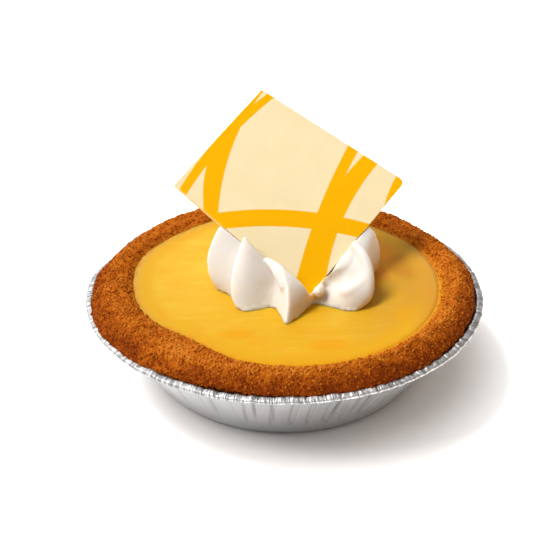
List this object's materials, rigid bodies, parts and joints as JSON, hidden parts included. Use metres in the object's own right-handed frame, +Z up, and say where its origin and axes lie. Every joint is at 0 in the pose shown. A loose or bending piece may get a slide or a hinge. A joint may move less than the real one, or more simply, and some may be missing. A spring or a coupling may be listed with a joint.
{
  "type": "key lime pie",
  "caption": "Small custard pie in a fluted foil pan: a raised crumb crust round set lime custard, and a piped cream rosette that holds a leaning white chocolate square.",
  "frame": {"origin": "middle of the pan's flat underside, on the table", "axes": "+Z up; -Y is the side that the sunk corner of the chocolate square points to; +X to the right seen from that side"},
  "size_m": [0.1077, 0.108, 0.0649],
  "materials": {
    "foil": "thin rolled foil, satin, with soft pressed flutes and a crimped rim",
    "crumb": "baked brown crumb, matt and grainy, darker towards the rim",
    "custard": "set custard, soft satin with faint streaks",
    "whipped_cream": "piped cream, smooth and soft",
    "white_chocolate": "thin tempered sheet, satin, with curved yellow stripes across its face"
  },
  "bodies": {
    "root": {"foil_pan": "foil", "crust": "crumb", "filling": "custard", "cream": "whipped_cream", "plaque": "white_chocolate"}
  },
  "joints": []
}
